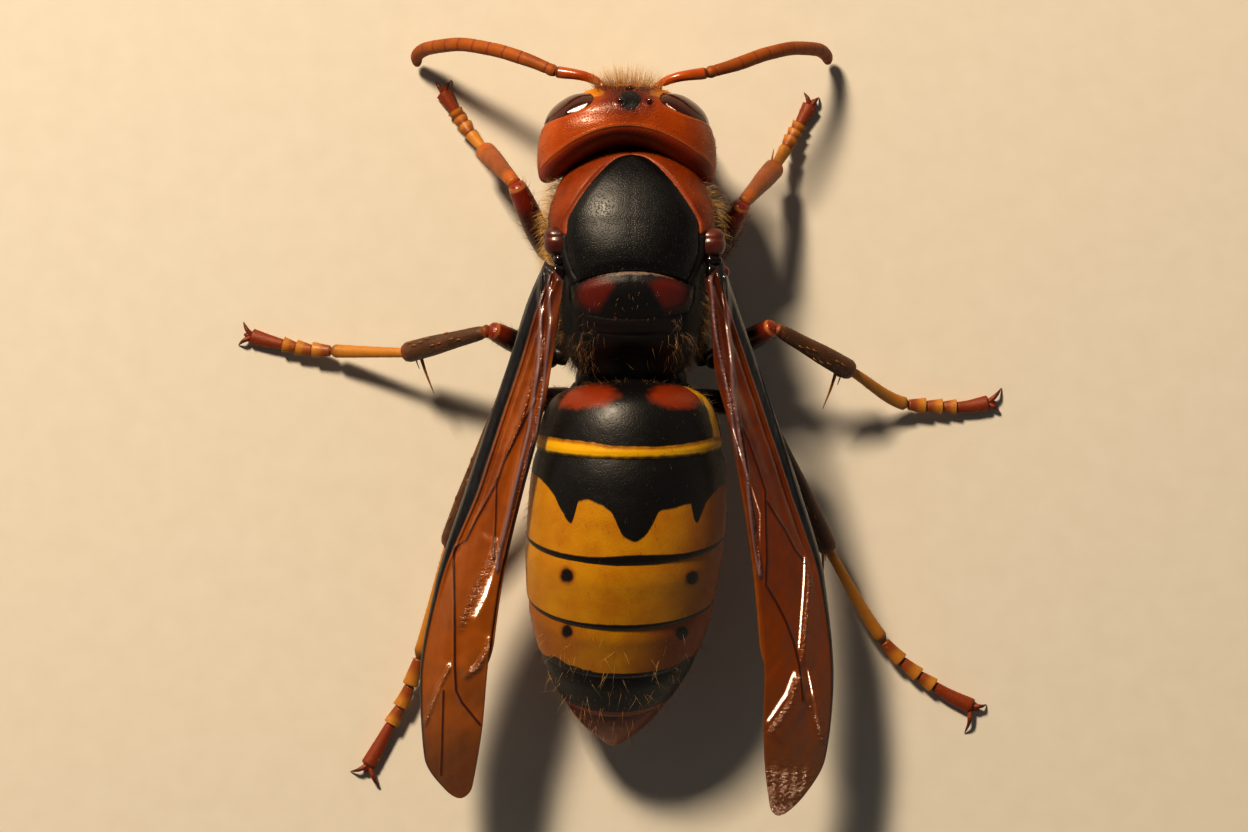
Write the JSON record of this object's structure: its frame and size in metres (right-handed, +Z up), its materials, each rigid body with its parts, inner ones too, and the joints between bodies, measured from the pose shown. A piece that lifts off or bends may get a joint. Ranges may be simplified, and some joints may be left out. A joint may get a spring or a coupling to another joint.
{
  "type": "european hornet",
  "caption": "Life-size still model of a European hornet queen at rest: on its six feet, wings folded back along the sides, antennae spread.",
  "frame": {"origin": "middle of the base, on the floor that the six feet stand on", "axes": "+Z up from the floor, -Y towards the head, +X towards the hornet's left side"},
  "size_m": [0.0331, 0.0333, 0.0093],
  "materials": {
    "head": "glossy orange red cuticle, darker towards the back of the head, with fine punctures",
    "eye": "dark red brown cornea with fine facets and a clear gloss",
    "mandible": "yellow cuticle with dark brown teeth",
    "scape": "glossy red brown cuticle",
    "flagellum": "satin orange brown cuticle in eleven rings",
    "collar": "satin orange red cuticle with short golden hairs",
    "back_plates": "satin black cuticle with fine punctures, dark red patches at the front of the scutellum",
    "thorax_sides": "black and dark red cuticle under golden hair",
    "tegula": "glossy dark red brown cuticle",
    "gaster": "glossy cuticle, black and dark red in front, then golden yellow with dark drips, spots and lines",
    "wing": "amber membrane, smoky along the front edge, with glossy red brown veins",
    "coxa_femur": "glossy dark red brown cuticle, orange at the knees",
    "tibia": "satin brown cuticle with short grey brown hair",
    "tarsus": "satin orange yellow cuticle, redder at the last joint and the claws"
  },
  "bodies": {
    "root": {"head": "head", "eye_left": "eye", "eye_right": "eye", "mandible_left": "mandible", "mandible_right": "mandible", "antenna_scape_left": "scape", "antenna_scape_right": "scape", "antenna_flagellum_left": "flagellum", "antenna_flagellum_right": "flagellum", "pronotum": "collar", "scutum": "back_plates", "scutellum": "back_plates", "metanotum": "back_plates", "propodeum": "thorax_sides", "thorax_sides": "thorax_sides", "tegula_left": "tegula", "tegula_right": "tegula", "gaster_segment_1": "gaster", "gaster_segment_2": "gaster", "gaster_segment_3": "gaster", "gaster_segment_4": "gaster", "gaster_segment_5": "gaster", "gaster_segment_6": "gaster", "forewing_left": "wing", "forewing_right": "wing", "hindwing_left": "wing", "hindwing_right": "wing", "leg_fore_left_coxa": "coxa_femur", "leg_fore_left_femur": "coxa_femur", "leg_fore_left_tibia": "tibia", "leg_fore_left_tarsus": "tarsus", "leg_fore_right_coxa": "coxa_femur", "leg_fore_right_femur": "coxa_femur", "leg_fore_right_tibia": "tibia", "leg_fore_right_tarsus": "tarsus", "leg_mid_left_coxa": "coxa_femur", "leg_mid_left_femur": "coxa_femur", "leg_mid_left_tibia": "tibia", "leg_mid_left_tarsus": "tarsus", "leg_mid_right_coxa": "coxa_femur", "leg_mid_right_femur": "coxa_femur", "leg_mid_right_tibia": "tibia", "leg_mid_right_tarsus": "tarsus", "leg_hind_left_coxa": "coxa_femur", "leg_hind_left_femur": "coxa_femur", "leg_hind_left_tibia": "tibia", "leg_hind_left_tarsus": "tarsus", "leg_hind_right_coxa": "coxa_femur", "leg_hind_right_femur": "coxa_femur", "leg_hind_right_tibia": "tibia", "leg_hind_right_tarsus": "tarsus"}
  },
  "joints": []
}
